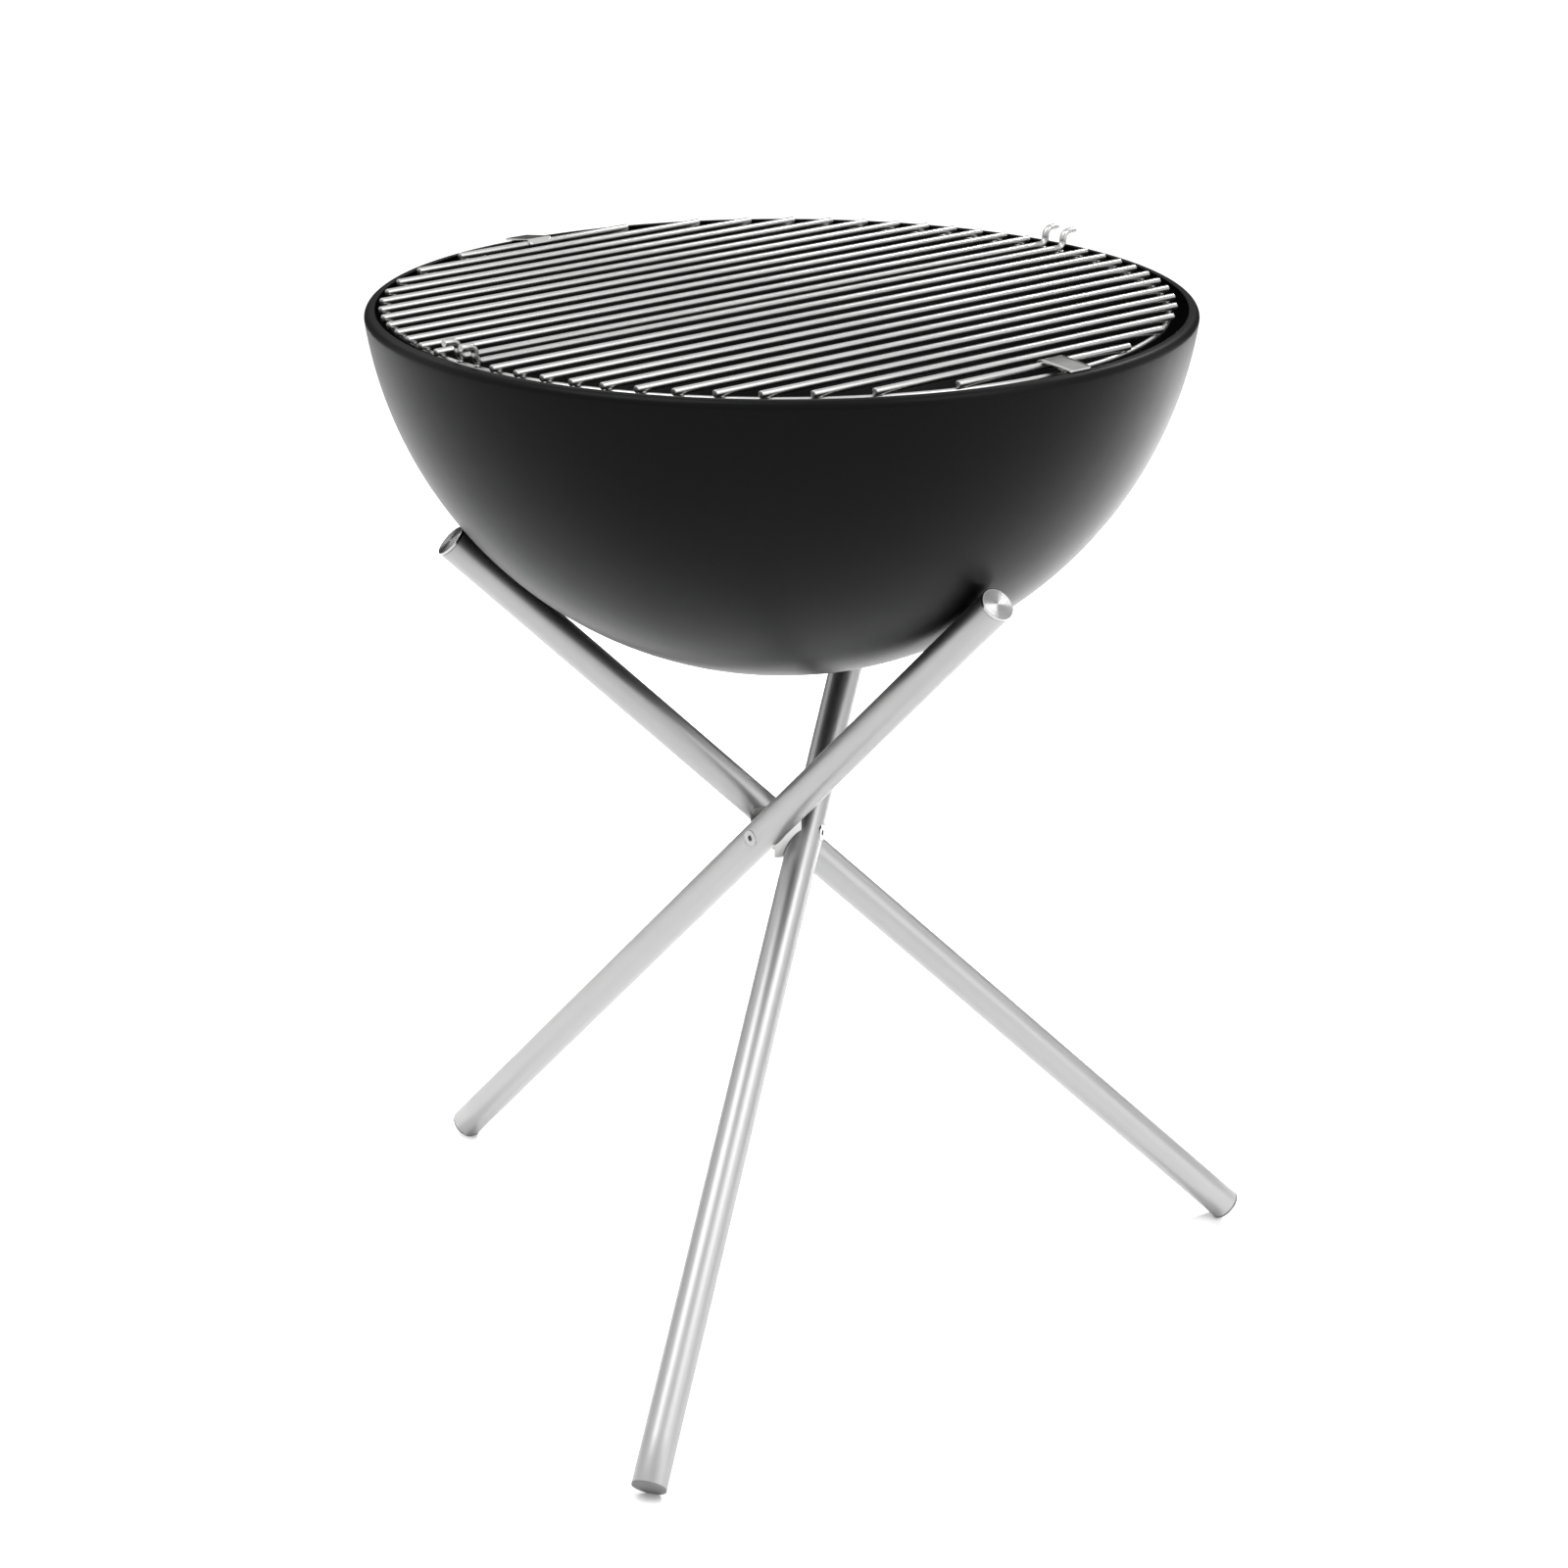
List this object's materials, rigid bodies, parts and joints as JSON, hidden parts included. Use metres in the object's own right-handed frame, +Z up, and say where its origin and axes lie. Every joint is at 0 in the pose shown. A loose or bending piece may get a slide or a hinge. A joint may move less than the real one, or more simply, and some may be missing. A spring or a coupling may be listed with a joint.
{
  "type": "charcoal grill",
  "caption": "Charcoal grill: a round-bottomed steel bowl resting in a folding tripod of crossed tubes, with a lift-out rod grate.",
  "frame": {"origin": "on the floor under the centre of the bowl and of the three feet", "axes": "+Z up; -Y is the front, from where leg 1 leans to the right; the grate's rods run 41.2 degrees from +X"},
  "size_m": [0.6295, 0.6299, 0.7421],
  "materials": {
    "bowl_enamel": "satin black enamel",
    "grate_wire": "satin stainless wire",
    "grate_tab": "satin stainless sheet",
    "leg_tube": "brushed stainless tube",
    "tube_cap": "turned stainless face",
    "hub_block": "satin blasted",
    "screw_steel": "plain stainless screw",
    "sleeve_steel": "turned steel",
    "foot_rubber": "dark moulded rubber"
  },
  "bodies": {
    "hub": {"hub": "hub_block", "pivot_screw_1": "screw_steel", "pivot_screw_2": "screw_steel", "pivot_screw_3": "screw_steel", "pivot_sleeve_1": "sleeve_steel", "pivot_sleeve_2": "sleeve_steel", "pivot_sleeve_3": "sleeve_steel"},
    "leg_1": {"leg_tube_1": "leg_tube", "top_cap_1": "tube_cap", "foot_plug_1": "foot_rubber"},
    "leg_2": {"leg_tube_2": "leg_tube", "top_cap_2": "tube_cap", "foot_plug_2": "foot_rubber"},
    "leg_3": {"leg_tube_3": "leg_tube", "top_cap_3": "tube_cap", "foot_plug_3": "foot_rubber"},
    "bowl": {"bowl_shell": "bowl_enamel"},
    "grate": {"grate_rod_01": "grate_wire", "grate_rod_02": "grate_wire", "grate_rod_03": "grate_wire", "grate_rod_04": "grate_wire", "grate_rod_05": "grate_wire", "grate_rod_06": "grate_wire", "grate_rod_07": "grate_wire", "grate_rod_08": "grate_wire", "grate_rod_09": "grate_wire", "grate_rod_10": "grate_wire", "grate_rod_11": "grate_wire", "grate_rod_12": "grate_wire", "grate_rod_13": "grate_wire", "grate_rod_14": "grate_wire", "grate_rod_15": "grate_wire", "grate_rod_16": "grate_wire", "grate_rod_17": "grate_wire", "grate_rod_18": "grate_wire", "grate_rod_19": "grate_wire", "grate_rod_20": "grate_wire", "grate_rod_21": "grate_wire", "grate_rod_22": "grate_wire", "grate_rod_23": "grate_wire", "grate_rod_24": "grate_wire", "grate_rod_25": "grate_wire", "grate_rod_26": "grate_wire", "grate_ring": "grate_wire", "grate_tab_1": "grate_tab", "grate_tab_2": "grate_tab"}
  },
  "joints": [
    {"name": "leg_1_fold", "type": "hinge", "parent": "hub", "child": "leg_1", "pos_m": [0.01778, -0.00578, 0.347], "axis": [0.9511, -0.309, 0], "range_deg": [0, 45.9]},
    {"name": "leg_2_fold", "type": "hinge", "parent": "hub", "child": "leg_2", "pos_m": [-0.00389, 0.01829, 0.347], "axis": [-0.2079, 0.9781, 0], "range_deg": [0, 45.9]},
    {"name": "leg_3_fold", "type": "hinge", "parent": "hub", "child": "leg_3", "pos_m": [-0.0139, -0.01251, 0.347], "axis": [-0.7431, -0.6691, 0], "range_deg": [0, 45.9]},
    {"name": "bowl_lift", "type": "slide", "parent": "hub", "child": "bowl", "axis": [0, 0, 1], "range_m": [0, 0.45]},
    {"name": "grate_lift", "type": "slide", "parent": "bowl", "child": "grate", "axis": [0, 0, 1], "range_m": [0, 0.35]}
  ],
  "couplings": [
    {"joint": "leg_1_fold", "follows": "bowl_lift", "rad_per_m": 1.7802},
    {"joint": "leg_2_fold", "follows": "bowl_lift", "rad_per_m": 1.7802},
    {"joint": "leg_3_fold", "follows": "bowl_lift", "rad_per_m": 1.7802}
  ]
}
